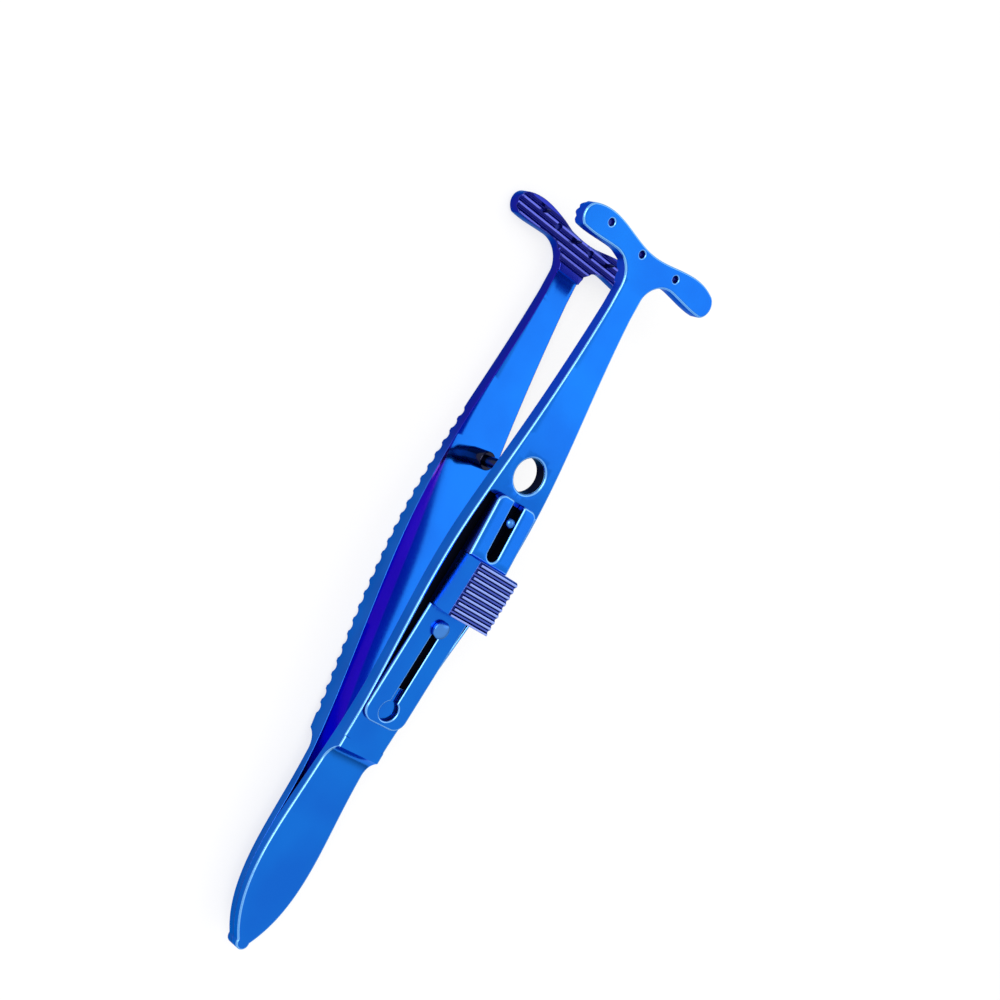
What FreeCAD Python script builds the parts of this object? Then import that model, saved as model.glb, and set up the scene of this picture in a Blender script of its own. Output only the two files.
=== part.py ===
"""Eyelid forceps: a thumb forceps of anodised titanium with T-shaped ridged jaws and a slide lock.

Each arm is made with the plane between the arms at z = 0: +X runs from the rear tip to the jaws,
the front arm lies above the plane and the rear arm below it. At the end the whole instrument is
laid on the grip ribs of its rear arm, with the origin under the middle of its outline.
"""
import FreeCAD, Part
import math
import os

V = FreeCAD.Vector

# Spring leaves at the rear end
length = 100.0
leaf_thickness = 1.3
leaf_width = 8.0
leaf_widest_x = 12.0
leaf_shoulder_x = 6.6
leaf_shoulder_width = 6.76
leaf_tip_length = 1.1
leaf_tip_radius = 0.95
seam_end_x = 13.0
leaf_spread = 0.30
leaf_end_rise = 0.25
waist_width = 6.6
step_radius = 2.66

# Line about which each leaf bends, and the slit that lets the arm turn there
flex_x = 21.0
flex_slit = 0.14

# Arms: where the arm starts, is bowed, is widest and narrows to its neck
step_x = 27.5
bow_x = 45.0
widest_x = 56.0
hole_x = 67.25
slim_to_front = 16.0
neck_to_front = 9.5
slim_x = length - slim_to_front
neck_x = length - neck_to_front
arm_width = 9.6
neck_width = 3.9
flank_swell = 0.1
half_gap_step = 1.05
half_gap_bow = 3.1
half_gap_widest = 4.1
half_gap_hole = 5.15
half_gap_slim = 5.6
bow_swell = 0.15
step_height = 2.6
bow_thickness = 1.9
widest_thickness = 2.0
hole_thickness = 1.95
slim_thickness = 1.83

# Rear arm: its back is thicker, with a straight stretch of grip ribs to lie on
rest_start_height = 6.1
rest_end_height = 7.3
rest_end_to_front = 27.0
rest_end_x = length - rest_end_to_front
shoulder_x = 36.0
shoulder_height = 5.2
rib_count = 24
rib_pitch = 1.8
rib_groove_radius = 0.75
rib_groove_depth = 0.42
first_groove_x = 30.0

# Jaws: insets and depths are measured back from the foremost point of the outline
jaw_half_gap = 5.9
jaw_closed_gap = 0.10
jaw_thickness = 1.9
jaw_span = 24.8
jaw_middle_inset = 1.2
jaw_hollow_y = 3.24
jaw_hollow_inset = 0.82
jaw_crest_y = 7.6
jaw_crest_inset = 0.05
jaw_corner_y = 11.5
jaw_corner_inset = 0.62
jaw_rear_corner_depth = 3.7
jaw_lobe_y = 9.6
jaw_lobe_depth = 3.75
jaw_root_depth = 3.45
neck_fillet_radius = 3.45
ridge_pitch = 1.02
ridge_groove_width = 0.76
ridge_groove_depth = 0.34
jaw_groove_count = 3
pad_groove_count = 2
pad_groove_span = 7.0
first_groove_inset = 0.98
pad_length = 6.35

# Pins and holes of the jaws, placed by their number of pitches from the middle
pin_places = (1.5, -0.5, -2.5)
hole_places = (2.5, 0.5, -1.5)
pin_pitch = 3.27
pin_row_inset = 2.1
pin_row_bend = 0.73
pin_diameter = 0.55
pin_seat_depth = 1.2
pin_reach = 1.4
pin_point = 0.8
pin_tip_radius = 0.06
pin_hole_diameter = 0.95
pin_hole_rim = 0.16

# Lock: hole in the front arm and grooved stud on the rear arm
lock_hole_diameter = 4.6
stud_diameter = 2.5
stud_neck_diameter = 1.5
stud_tenon_diameter = 1.6
stud_tenon_length = 1.5
stud_seat_depth = 0.25
stud_body_length = 3.3
stud_head_length = 0.75
stud_edge = 0.25
stud_groove_play = 0.12

# Slide: keyhole plate, thumb block and fork, in one line along the front arm
slide_start_x = 33.5
slide_start_height = 4.12
slide_slope = 0.095
slide_play = 0.06
slide_width = 6.6
slide_travel = 4.5
slide_land = 0.6
pocket_depth = 0.95
pocket_rim = 0.36
pocket_side_points = 5
plate_thickness = 0.55
plate_tail_x = 31.95
plate_corner = 1.7
keyhole_x = 34.0
keyhole_diameter = 2.7
plate_slot_width = 1.1
block_rear_x = 48.0
block_length = 7.45
block_height = 5.0
block_groove_start = 0.56
block_groove_count = 9
block_groove_pitch = 0.867
block_groove_width = 0.62
block_groove_floor = 0.2
block_groove_depth = 0.4
fork_front_x = 63.8
fork_front_thickness = 1.1
fork_rear_thickness = 2.0
fork_corner = 1.1
fork_slot_width = 1.8
fork_slot_rear_x = 55.9

# Pins that hold and guide the slide
guide_pin_x = 45.7
guide_pin_diameter = 0.9
guide_pin_head_diameter = 2.3
guide_pin_head_height = 0.6
head_play = 0.08
fork_pin_x = 61.1
fork_pin_diameter = 1.25
fork_pin_height = 1.7
pin_foot_inset = 0.2

# Cutters pass the surfaces that they cut by the overlap, and blanks pass the outline by the margin
overlap = 0.01
margin = 3.0
tall = 30.0
touching = 1e-6


def jaw_middle_x():
    return length - pin_row_inset


def flex_height():
    """Height of the bending line: the middle of a leaf's thickness there."""
    return leaf_spread + leaf_thickness / 2


def closing_angle():
    """Angle, in radians, through which each arm turns until the jaws meet."""
    reach = jaw_middle_x() - flex_x
    rise = jaw_half_gap - flex_height()
    drop = flex_height() - jaw_closed_gap / 2
    return math.atan2(rise, reach) + math.asin(drop / math.hypot(reach, rise))


def jaw_inner_height(x):
    """Crests of the jaw's ridges: a plane that lies level once the jaws have closed."""
    return jaw_half_gap + (x - jaw_middle_x()) * math.tan(closing_angle())


def jaw_outer_height(x):
    return jaw_inner_height(x) + jaw_thickness / math.cos(closing_angle())


def slide_height(x):
    """Underside of the slide."""
    return slide_start_height + (x - slide_start_x) * slide_slope


def slide_angle():
    return math.atan(slide_slope)


def rest_slope():
    """Slope of the crests of the grip ribs, on which the instrument lies."""
    return (rest_end_height - rest_start_height) / (rest_end_x - bow_x)


def curve(points):
    """A smooth edge through points."""
    spline = Part.BSplineCurve()
    spline.interpolate(points)
    return spline.toShape()


def arc(start, middle, end):
    return Part.Arc(start, middle, end).toShape()


def line(start, end):
    return Part.LineSegment(start, end).toShape()


def ring(corners):
    """Straight edges round a closed outline."""
    return [line(corners[i - 1], corners[i]) for i in range(len(corners))]


def prism(edges, direction):
    """A solid from closed edges in a plane, pulled along direction, half of it to each side."""
    wire = Part.Wire(Part.__sortEdges__(edges))
    face = Part.Face(wire)
    face.translate(direction * -0.5)
    return face.extrude(direction)


def cylinder(x, y, z, diameter, height):
    return Part.makeCylinder(diameter / 2, height, V(x, y, z))


def slab(start, end, width, low, high):
    """A box along X, centred on the length of the instrument."""
    return Part.makeBox(end - start, width, high - low, V(start, -width / 2, low))


def slot(start, end, width, low, high):
    """A round-ended slot along X as a solid to cut with."""
    ends = [cylinder(x, 0, low, width, high - low) for x in (start, end)]
    return slab(start, end, width, low, high).multiFuse(ends)


def groove_cutter(x, surface, width, depth, span):
    """A V groove across the instrument, cut down from a level surface."""
    edges = ring([
        V(x - width / 2, 0, surface + overlap),
        V(x + width / 2, 0, surface + overlap),
        V(x, 0, surface - depth),
    ])
    return prism(edges, V(0, span, 0))


def upright_edges(shape, x):
    """The edges of a slab that stand at one of its ends."""
    found = []
    for edge in shape.Edges:
        box = edge.BoundBox
        if abs(box.XMin - x) < touching and abs(box.XMax - x) < touching and box.ZLength > touching:
            if box.YLength < touching:
                found.append(edge)
    return found


def tilted(shape, x, z, angle):
    """A shape turned about a line across the arm, its front end rising."""
    turned = shape.copy()
    turned.rotate(V(x, 0, z), V(0, 1, 0), -math.degrees(angle))
    return turned


def to_rear(shape):
    """The same shape on the rear arm, which is the front arm turned over."""
    turned = shape.copy()
    turned.rotate(V(0, 0, 0), V(1, 0, 0), 180)
    return turned


def profile_height(edges, x):
    """Height of a side profile at x."""
    upright = line(V(x, 0, 0), V(x, 0, tall))
    nearest = min(edges, key=lambda edge: edge.distToShape(upright)[0])
    return nearest.distToShape(upright)[1][0][0].z


def tip_arc():
    """Half of the rounded rear tip of a leaf."""
    turn = math.acos(1 - leaf_tip_length / leaf_tip_radius)
    points = []
    for angle in (0, turn / 2, turn):
        points.append(V(leaf_tip_radius * (1 - math.cos(angle)), leaf_tip_radius * math.sin(angle), 0))
    return arc(*points)


def flank_edge():
    """Side of the leaf and the arm, from the rounded tip to the neck."""
    leaf = leaf_width / 2
    waist = waist_width / 2
    arm = arm_width / 2
    neck = neck_width / 2
    return curve([
        tip_arc().Vertexes[-1].Point,
        V(leaf_shoulder_x, leaf_shoulder_width / 2, 0),
        V(leaf_widest_x, leaf, 0),
        V((leaf_widest_x + step_x) / 2, (leaf + waist) / 2, 0),
        V(step_x, waist, 0),
        V((step_x + widest_x) / 2, (waist + arm) / 2 - flank_swell, 0),
        V(widest_x, arm, 0),
        V((widest_x + neck_x) / 2, (arm + neck) / 2 + flank_swell, 0),
        V(neck_x, neck, 0),
    ])


def jaw_outline():
    """Half of the jaw's outline, from the neck round the lobe to the middle of the front."""
    neck = neck_width / 2
    root_x = length - jaw_root_depth
    round_off = neck_fillet_radius * math.sqrt(0.5)
    fillet_start = V(root_x - neck_fillet_radius, neck, 0)
    fillet_middle = V(fillet_start.x + round_off, neck + neck_fillet_radius - round_off, 0)
    root = V(root_x, neck + neck_fillet_radius, 0)
    lobe = V(length - jaw_lobe_depth, jaw_lobe_y, 0)
    rear_corner = V(length - jaw_rear_corner_depth, jaw_corner_y, 0)
    front_corner = V(length - jaw_corner_inset, jaw_corner_y, 0)
    lobe_end = V((rear_corner.x + front_corner.x) / 2, jaw_span / 2, 0)
    return [
        line(V(neck_x, neck, 0), fillet_start),
        arc(fillet_start, fillet_middle, root),
        curve([root, (root + lobe) / 2, lobe, rear_corner]),
        arc(rear_corner, lobe_end, front_corner),
        curve([
            front_corner,
            V(length - jaw_crest_inset, jaw_crest_y, 0),
            V(length - jaw_hollow_inset, jaw_hollow_y, 0),
            V(length - jaw_middle_inset, 0, 0),
        ]),
    ]


def plan_prism():
    """Everything inside the plan outline."""
    half = [tip_arc(), flank_edge()] + jaw_outline()
    other = [edge.mirror(V(0, 0, 0), V(0, 1, 0)) for edge in half]
    return prism(half + other, V(0, 0, tall * 2))


def inner_edges():
    """Inner side of an arm in profile; the leaves part from their seam along a parabola."""
    pad_start = length - pad_length
    floor = jaw_inner_height(pad_start) + ridge_groove_depth
    front = length + margin
    hollow = curve([
        V(seam_end_x, 0, 0),
        V((seam_end_x + flex_x) / 2, 0, leaf_spread / 4),
        V(flex_x, 0, leaf_spread),
        V(step_x, 0, half_gap_step),
        V((step_x + bow_x) / 2, 0, (half_gap_step + half_gap_bow) / 2 + bow_swell),
        V(bow_x, 0, half_gap_bow),
        V(widest_x, 0, half_gap_widest),
        V(hole_x, 0, half_gap_hole),
        V(slim_x, 0, half_gap_slim),
        V(pad_start, 0, floor),
    ])
    return [
        line(V(-margin, 0, 0), V(seam_end_x, 0, 0)),
        hollow,
        line(V(pad_start, 0, floor), V(pad_start, 0, jaw_inner_height(pad_start))),
        line(V(pad_start, 0, jaw_inner_height(pad_start)), V(front, 0, jaw_inner_height(front))),
        line(V(front, 0, jaw_inner_height(front)), V(front, 0, jaw_outer_height(front))),
    ]


def leaf_back_edges():
    """Outer side of a leaf and the hollow curve that climbs to the arm's step."""
    top = half_gap_step + step_height
    climb = top - leaf_thickness - leaf_spread - leaf_end_rise
    run = math.sqrt(step_radius ** 2 - (step_radius - climb) ** 2)
    foot = V(step_x - run, 0, top - climb)
    halfway = math.asin(run / step_radius) / 2
    middle = V(foot.x + step_radius * math.sin(halfway), 0,
               foot.z + step_radius * (1 - math.cos(halfway)))
    back = curve([
        V(-margin, 0, leaf_thickness),
        V(seam_end_x - leaf_spread, 0, leaf_thickness),
        V(flex_x, 0, leaf_thickness + leaf_spread),
        foot,
    ])
    return [
        line(V(-margin, 0, 0), V(-margin, 0, leaf_thickness)),
        back,
        arc(foot, middle, V(step_x, 0, top)),
    ]


def jaw_back_edge():
    """Straight outer side of the jaw."""
    start = length - pad_length
    end = length + margin
    return line(V(start, 0, jaw_outer_height(start)), V(end, 0, jaw_outer_height(end)))


def front_back_edges():
    """Outer side of the front arm, just under the slide where that runs."""
    jaw_edge = jaw_back_edge()
    return [
        curve([
            V(step_x, 0, half_gap_step + step_height),
            V(slide_start_x, 0, slide_start_height - slide_play),
            V(bow_x, 0, half_gap_bow + bow_thickness),
            V(widest_x, 0, half_gap_widest + widest_thickness),
            V(hole_x, 0, half_gap_hole + hole_thickness),
            V(slim_x, 0, half_gap_slim + slim_thickness),
            jaw_edge.Vertexes[0].Point,
        ]),
        jaw_edge,
    ]


def rear_back_edges():
    """Outer side of the rear arm: a shoulder, the straight stretch of grip ribs, and the neck."""
    jaw_edge = jaw_back_edge()
    return [
        curve([
            V(step_x, 0, half_gap_step + step_height),
            V(shoulder_x, 0, shoulder_height),
            V(bow_x, 0, rest_start_height),
        ]),
        line(V(bow_x, 0, rest_start_height), V(rest_end_x, 0, rest_end_height)),
        curve([
            V(rest_end_x, 0, rest_end_height),
            V(slim_x, 0, half_gap_slim + slim_thickness),
            jaw_edge.Vertexes[0].Point,
        ]),
        jaw_edge,
    ]


def ridge_cutters():
    """V grooves along the jaw and, behind them, across its root: they leave the ridges."""
    cutters = []
    for index in range(jaw_groove_count + pad_groove_count):
        x = length - first_groove_inset - index * ridge_pitch
        span = jaw_span + margin if index < jaw_groove_count else pad_groove_span
        groove = groove_cutter(x, -jaw_inner_height(x), ridge_groove_width, ridge_groove_depth, span)
        cutters.append(to_rear(groove))
    return cutters


def pin_station(place):
    """Centre of a pin or hole of the front jaw, on the plane of its ridges."""
    y = place * pin_pitch
    outermost = max(hole_places) * pin_pitch
    x = jaw_middle_x() + pin_row_bend * (y / outermost) ** 2
    return x, y, jaw_inner_height(x)


def jaw_hole(place):
    """Through hole that takes a pin of the other jaw, with a countersunk rim outside."""
    x, y, z = pin_station(place)
    bore = cylinder(x, y, z - margin, pin_hole_diameter, margin * 3)
    radius = pin_hole_diameter / 2
    rim = Part.makeCone(radius, radius + pin_hole_rim + overlap, pin_hole_rim + overlap,
                        V(x, y, z + jaw_thickness - pin_hole_rim))
    return tilted(bore.fuse(rim), x, z, closing_angle())


def jaw_pin(place):
    """A fine pointed pin, set in the front jaw and reaching towards the rear one."""
    x, y, z = pin_station(place)
    straight = pin_reach - pin_point
    shank = cylinder(x, y, z - straight, pin_diameter, straight + pin_seat_depth)
    point = Part.makeCone(pin_tip_radius, pin_diameter / 2, pin_point, V(x, y, z - pin_reach))
    return tilted(shank.fuse(point).removeSplitter(), x, z, closing_angle())


def arm_blank(back_edges):
    """A whole arm with its leaf and jaw, before the holes for the lock are made."""
    edges = inner_edges() + back_edges + leaf_back_edges()
    blank = prism(edges, V(0, jaw_span + margin, 0)).common(plan_prism())
    holes = [jaw_hole(place) for place in hole_places]
    blank = blank.cut(Part.makeCompound(ridge_cutters() + holes))
    pins = [jaw_pin(place) for place in pin_places]
    return blank.cut(Part.makeCompound(pins))


def split_at_flex(blank):
    """The leaf behind the bending line and the arm in front of it, with the slit between them."""
    rear = slab(-margin, flex_x - flex_slit / 2, jaw_span, -tall / 2, tall / 2)
    front = slab(flex_x + flex_slit / 2, length + margin, jaw_span, -tall / 2, tall / 2)
    return blank.common(rear), blank.common(front)


def slide_placed(shape):
    """From the slide's own frame, with its underside at z = 0, to its place on the front arm."""
    placed = shape.copy()
    placed.translate(V(0, 0, slide_start_height))
    return tilted(placed, slide_start_x, slide_start_height, slide_angle())


def along_slide(x):
    """Distance along the slide's own axis of a point that lies above x."""
    return slide_start_x + (x - slide_start_x) / math.cos(slide_angle())


def keyhole_plate():
    """Thin rear plate of the slide, with a keyhole slot that runs under the guide pin's head."""
    rear = along_slide(plate_tail_x)
    plate = slab(rear, along_slide(block_rear_x), slide_width, 0, plate_thickness)
    plate = plate.makeFillet(plate_corner, upright_edges(plate, rear))
    centre = along_slide(keyhole_x)
    way = slot(centre, along_slide(guide_pin_x), plate_slot_width, -margin, margin)
    keyhole = cylinder(centre, 0, -margin, keyhole_diameter, margin * 2)
    return slide_placed(plate.cut(way).cut(keyhole))


def block_groove_cutter(x):
    """A groove with a narrow flat floor and leaning sides, right across the thumb block."""
    half_floor = block_groove_floor / 2
    half_top = block_groove_width / 2
    side = ring([
        V(x - half_floor, 0, block_height - block_groove_depth),
        V(x + half_floor, 0, block_height - block_groove_depth),
        V(x + half_top, 0, block_height),
        V(x + half_top, 0, block_height + margin),
        V(x - half_top, 0, block_height + margin),
        V(x - half_top, 0, block_height),
    ])
    return prism(side, V(0, slide_width + margin, 0))


def thumb_block():
    """Raised block that the thumb pushes, grooved across its top.

    The last groove runs out over the front edge.
    """
    rear = along_slide(block_rear_x)
    block = slab(rear, rear + block_length, slide_width, 0, block_height)
    grooves = []
    for index in range(block_groove_count):
        x = rear + block_groove_start + index * block_groove_pitch
        grooves.append(block_groove_cutter(x))
    return slide_placed(block.cut(Part.makeCompound(grooves)))


def fork_thickness(x):
    """The fork thins evenly from the block to its front end."""
    rear_x = block_rear_x + block_length
    share = (x - rear_x) / (fork_front_x - rear_x)
    return fork_rear_thickness + share * (fork_front_thickness - fork_rear_thickness)


def lock_fork():
    """Forked tongue that slides round the neck of the stud; its slot also runs on a guide pin."""
    rear = along_slide(block_rear_x) + block_length
    front = along_slide(fork_front_x)
    side = ring([
        V(rear, 0, 0),
        V(front, 0, 0),
        V(front, 0, fork_front_thickness),
        V(rear, 0, fork_rear_thickness),
    ])
    wedge = prism(side, V(0, slide_width, 0))
    outline = slab(rear, front, slide_width, -tall / 2, tall / 2)
    outline = outline.makeFillet(fork_corner, upright_edges(outline, front))
    slot_rear = along_slide(fork_slot_rear_x) + fork_slot_width / 2
    way = slot(slot_rear, front + margin, fork_slot_width, -margin, margin * 2)
    return slide_placed(wedge.common(outline).cut(way))


def slide_seat_cutter():
    """Room above the slide's underside, so that the front arm clears it over its whole travel."""
    rear = along_slide(plate_tail_x) - margin
    front = along_slide(fork_front_x) + slide_travel + margin
    return slide_placed(slab(rear, front, arm_width + margin, -slide_play, margin))


def half_width(x):
    """Half of the arm's width at x."""
    across = line(V(x, 0, 0), V(x, jaw_span, 0))
    return flank_edge().distToShape(across)[1][0][0].y


def seat_pocket_cutter():
    """Pocket under the slide, with a thin rim along each flank; a land carries each end of the slide."""
    rear = plate_tail_x + slide_travel + slide_land
    front = fork_front_x - slide_land
    step = (front - rear) / (pocket_side_points - 1)
    stations = [rear + index * step for index in range(pocket_side_points)]
    corners = [V(x, half_width(x) - pocket_rim, 0) for x in stations]
    side = curve(corners)
    other = side.mirror(V(0, 0, 0), V(0, 1, 0))
    ends = [line(corner, V(corner.x, -corner.y, 0)) for corner in (corners[0], corners[-1])]
    room = slab(along_slide(rear) - margin, along_slide(front) + margin, arm_width + margin,
                -pocket_depth, margin)
    return prism([side, other] + ends, V(0, 0, tall)).common(slide_placed(room))


def guide_bore(x, diameter):
    """Bore through the front arm for a pin that stands square to the slide."""
    return slide_placed(cylinder(along_slide(x), 0, -margin * 2, diameter, margin * 3))


def pin_foot(x):
    """Depth below the slide's underside at which a pin ends, just inside the arm's inner side."""
    return slide_height(x) - profile_height(inner_edges(), x) - pin_foot_inset


def guide_pin():
    """Headed pin that holds the keyhole plate down; its head passes the keyhole for taking apart."""
    x = along_slide(guide_pin_x)
    foot = pin_foot(guide_pin_x)
    top = plate_thickness + head_play
    shank = cylinder(x, 0, -foot, guide_pin_diameter, foot + top)
    head = cylinder(x, 0, top, guide_pin_head_diameter, guide_pin_head_height)
    return slide_placed(shank.fuse(head).removeSplitter())


def fork_pin():
    """Plain round-topped pin in the slot of the fork, which stops and steers the slide."""
    x = along_slide(fork_pin_x)
    radius = fork_pin_diameter / 2
    foot = pin_foot(fork_pin_x)
    shank = cylinder(x, 0, -foot, fork_pin_diameter, foot + fork_pin_height - radius)
    dome = Part.makeSphere(radius, V(x, 0, fork_pin_height - radius))
    return slide_placed(shank.fuse(dome).removeSplitter())


def height_on_stud(height):
    """Distance from the stud's foot of a point of the front arm at this height, jaws closed."""
    angle = closing_angle()
    sink = (hole_x - flex_x) * math.sin(angle)
    point = flex_height() + (height - flex_height()) * math.cos(angle) - sink
    foot = -flex_height() - (half_gap_hole - flex_height()) * math.cos(angle) + sink
    return (point - foot) / math.cos(angle)


def stud_groove_end():
    """Where the stud's neck ends and its head begins, just above the fork when locked."""
    under_head = hole_x - slide_travel - stud_diameter / 2
    fork_top = height_on_stud(slide_height(hole_x) + fork_thickness(under_head))
    tilt_room = stud_diameter / 2 * math.tan(2 * closing_angle())
    return fork_top + stud_groove_play + tilt_room


def lock_stud():
    """Stud of the rear arm, made on the front side and turned over with the arm."""
    base = half_gap_hole
    neck_end = base - stud_groove_end()
    body_end = base - stud_body_length
    head_end = neck_end - stud_head_length
    body = cylinder(hole_x, 0, body_end, stud_diameter, stud_body_length + stud_seat_depth)
    neck = cylinder(hole_x, 0, neck_end, stud_neck_diameter, stud_groove_end())
    head = cylinder(hole_x, 0, head_end, stud_diameter, stud_head_length)
    rim = [edge for edge in head.Edges if edge.BoundBox.ZMax < head_end + touching]
    head = head.makeChamfer(stud_edge, rim)
    tenon = cylinder(hole_x, 0, base, stud_tenon_diameter, stud_tenon_length)
    return body.multiFuse([neck, head, tenon]).removeSplitter()


def front_arm_blank():
    """The front arm with the hole for the stud and the seat, pocket and bores of the slide."""
    cutters = [
        cylinder(hole_x, 0, 0, lock_hole_diameter, tall / 2),
        slide_seat_cutter(),
        seat_pocket_cutter(),
        guide_bore(guide_pin_x, guide_pin_diameter),
        guide_bore(fork_pin_x, fork_pin_diameter),
    ]
    return arm_blank(front_back_edges()).cut(Part.makeCompound(cutters))


def rear_arm_blank():
    """The rear arm with its grip ribs and the seat of the stud."""
    back = rear_back_edges()
    grooves = []
    for index in range(rib_count):
        x = first_groove_x + index * rib_pitch
        z = profile_height(back, x) + rib_groove_radius - rib_groove_depth
        bar = Part.makeCylinder(rib_groove_radius, jaw_span, V(x, -jaw_span / 2, z), V(0, 1, 0))
        grooves.append(bar)
    return arm_blank(back).cut(Part.makeCompound(grooves)).cut(lock_stud())


def make_parts():
    """Every piece by name, with the plane between the arms at z = 0."""
    front_leaf, front_arm = split_at_flex(front_arm_blank())
    rear_leaf, rear_arm = split_at_flex(rear_arm_blank())
    parts = {
        "front_arm": front_arm,
        "front_spring_leaf": front_leaf,
        "rear_arm": to_rear(rear_arm),
        "rear_spring_leaf": to_rear(rear_leaf),
        "lock_stud": to_rear(lock_stud()),
        "keyhole_plate": keyhole_plate(),
        "thumb_block": thumb_block(),
        "lock_fork": lock_fork(),
        "guide_pin": guide_pin(),
        "fork_pin": fork_pin(),
    }
    for number, place in enumerate(pin_places, start=1):
        parts["front_jaw_pin_%d" % number] = jaw_pin(place)
        parts["rear_jaw_pin_%d" % number] = to_rear(jaw_pin(place))
    return parts


def table_placement(parts):
    """Turn and shift that lay the instrument on its grip ribs, with the origin under its middle."""
    turn = FreeCAD.Placement(V(0, 0, 0), FreeCAD.Rotation(V(0, 1, 0), -math.degrees(math.atan(rest_slope()))))
    turned = Part.makeCompound(list(parts.values()))
    turned.Placement = turn
    box = turned.optimalBoundingBox(False, False)
    shift = V(-(box.XMin + box.XMax) / 2, -(box.YMin + box.YMax) / 2, -box.ZMin)
    return FreeCAD.Placement(shift, FreeCAD.Rotation()).multiply(turn)


def main():
    os.makedirs("parts", exist_ok=True)
    parts = make_parts()
    placement = table_placement(parts)
    for name, shape in parts.items():
        laid = shape.copy()
        laid.Placement = placement.multiply(laid.Placement)
        laid.exportStep("parts/%s.step" % name)
        print("%-20s %2d solid(s) %8.2f mm3 valid %s" % (name, len(laid.Solids), laid.Volume, laid.isValid()))


main()
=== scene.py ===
# %% [markdown]
# # Eyelid forceps in blue anodised titanium
# An eye surgeon closes these wide jaws on the edge of an eyelid and pushes the thumb slide forward,
# so that the arms stay shut by themselves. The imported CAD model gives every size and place, and
# this notebook dresses it: rounded edges, ribs, pins and the anodised metal.

# %% Load the frame
import math
import bpy
import numpy as np
from mathutils import Matrix, Vector
from mathutils.geometry import delaunay_2d_cdt


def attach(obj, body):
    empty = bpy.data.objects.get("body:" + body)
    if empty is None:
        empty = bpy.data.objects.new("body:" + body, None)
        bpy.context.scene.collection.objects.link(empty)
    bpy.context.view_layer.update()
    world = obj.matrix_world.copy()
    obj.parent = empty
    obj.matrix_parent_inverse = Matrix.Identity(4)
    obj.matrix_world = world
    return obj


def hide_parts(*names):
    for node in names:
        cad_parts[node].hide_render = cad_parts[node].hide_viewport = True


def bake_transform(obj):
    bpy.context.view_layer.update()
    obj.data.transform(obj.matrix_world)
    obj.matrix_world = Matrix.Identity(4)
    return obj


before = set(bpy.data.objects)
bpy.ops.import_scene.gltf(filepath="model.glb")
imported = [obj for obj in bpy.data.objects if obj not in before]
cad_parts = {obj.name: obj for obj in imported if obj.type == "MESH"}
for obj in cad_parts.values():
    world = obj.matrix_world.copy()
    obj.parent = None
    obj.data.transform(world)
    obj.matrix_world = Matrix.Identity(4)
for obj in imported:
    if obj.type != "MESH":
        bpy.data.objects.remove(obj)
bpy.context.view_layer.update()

# %% [markdown]
# ## From the bench to the table
# It is easiest to draw one arm with the middle of the instrument at z = 0 and X running from the
# rear tip to the jaws, in millimetres. The finished instrument lies on the grip ribs of its rear
# arm, so everything is turned by the slope of those ribs, moved, and scaled to metres at the end.

# %% Places on the instrument and on the table
# Stations along X, in mm from the rear end. The step is an arc where the leaf meets the arm.
STEP_X, STEP_Z, STEP_RADIUS = 24.983, 1.85, 2.66
ARM_X = 27.5
# The slide tilts about the seat. Its plate, block and fork are measured from there.
SEAT_X, SEAT_Z = 33.5, 4.12
PLATE_TAIL_X = 31.95
POCKET_START_X, POCKET_END_X = 37.05, 63.2
BLOCK_X = 48.0
FORK_FRONT_X = 63.8
LOCK_X = 67.25
JAW_X = 97.9
REST_SLOPE = math.atan((7.3 - 6.1) / (73.0 - 45.0))
TABLE_SHIFT = Vector((-50.0884, 0.0, 4.1676))
LAID = Matrix.Scale(0.001, 4) @ Matrix.Translation(TABLE_SHIFT) @ Matrix.Rotation(-REST_SLOPE, 4, "Y")
OVER = Matrix.Rotation(math.pi, 4, "X")
print("the ribs slope by %.2f degrees" % math.degrees(REST_SLOPE))

# %% [markdown]
# ## Smooth lines through a few points
# A toolmaker's profile is a smooth line through measured points. A cubic spline does that: each
# stretch is a cubic, and neighbouring stretches share slope and curvature. The ends take the slope
# of the cubic through the last four points, as drawing programs do.

# %% A cubic spline
def smooth_line(points, step=0.1):
    points = np.array(points, float)
    t = np.concatenate([[0], np.cumsum(np.linalg.norm(np.diff(points, axis=0), axis=1))])
    h = np.diff(t)[:, None]
    n = len(points)
    system = np.zeros((n, n))
    right = np.zeros(points.shape)
    few = min(4, n)
    for row, ends in ((0, slice(0, few)), (n - 1, slice(n - few, n))):
        cubic = np.polyfit(t[ends] - t[row], points[ends], few - 1)
        system[row, row] = 1
        right[row] = cubic[-2]
    for i in range(1, n - 1):
        system[i, i - 1] = 1 / h[i - 1, 0]
        system[i, i] = 2 / h[i - 1, 0] + 2 / h[i, 0]
        system[i, i + 1] = 1 / h[i, 0]
        right[i] = 3 * ((points[i] - points[i - 1]) / h[i - 1] ** 2
                        + (points[i + 1] - points[i]) / h[i] ** 2)
    slope = np.linalg.solve(system, right)
    out = [points[:1]]
    for i in range(n - 1):
        u = np.linspace(0, 1, max(2, int(h[i, 0] / step) + 1))[1:, None]
        out.append((2 * u ** 3 - 3 * u ** 2 + 1) * points[i] + (3 * u ** 2 - 2 * u ** 3) * points[i + 1]
                   + (u ** 3 - 2 * u ** 2 + u) * h[i] * slope[i] + (u ** 3 - u ** 2) * h[i] * slope[i + 1])
    return np.concatenate(out)


# %% [markdown]
# ## Sides of the arms, seen from the side
# Each arm has an inner side that faces the other arm and an outer side. The jaws are flat and
# slightly turned, so that their ridges lie level once the arms have closed.

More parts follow.
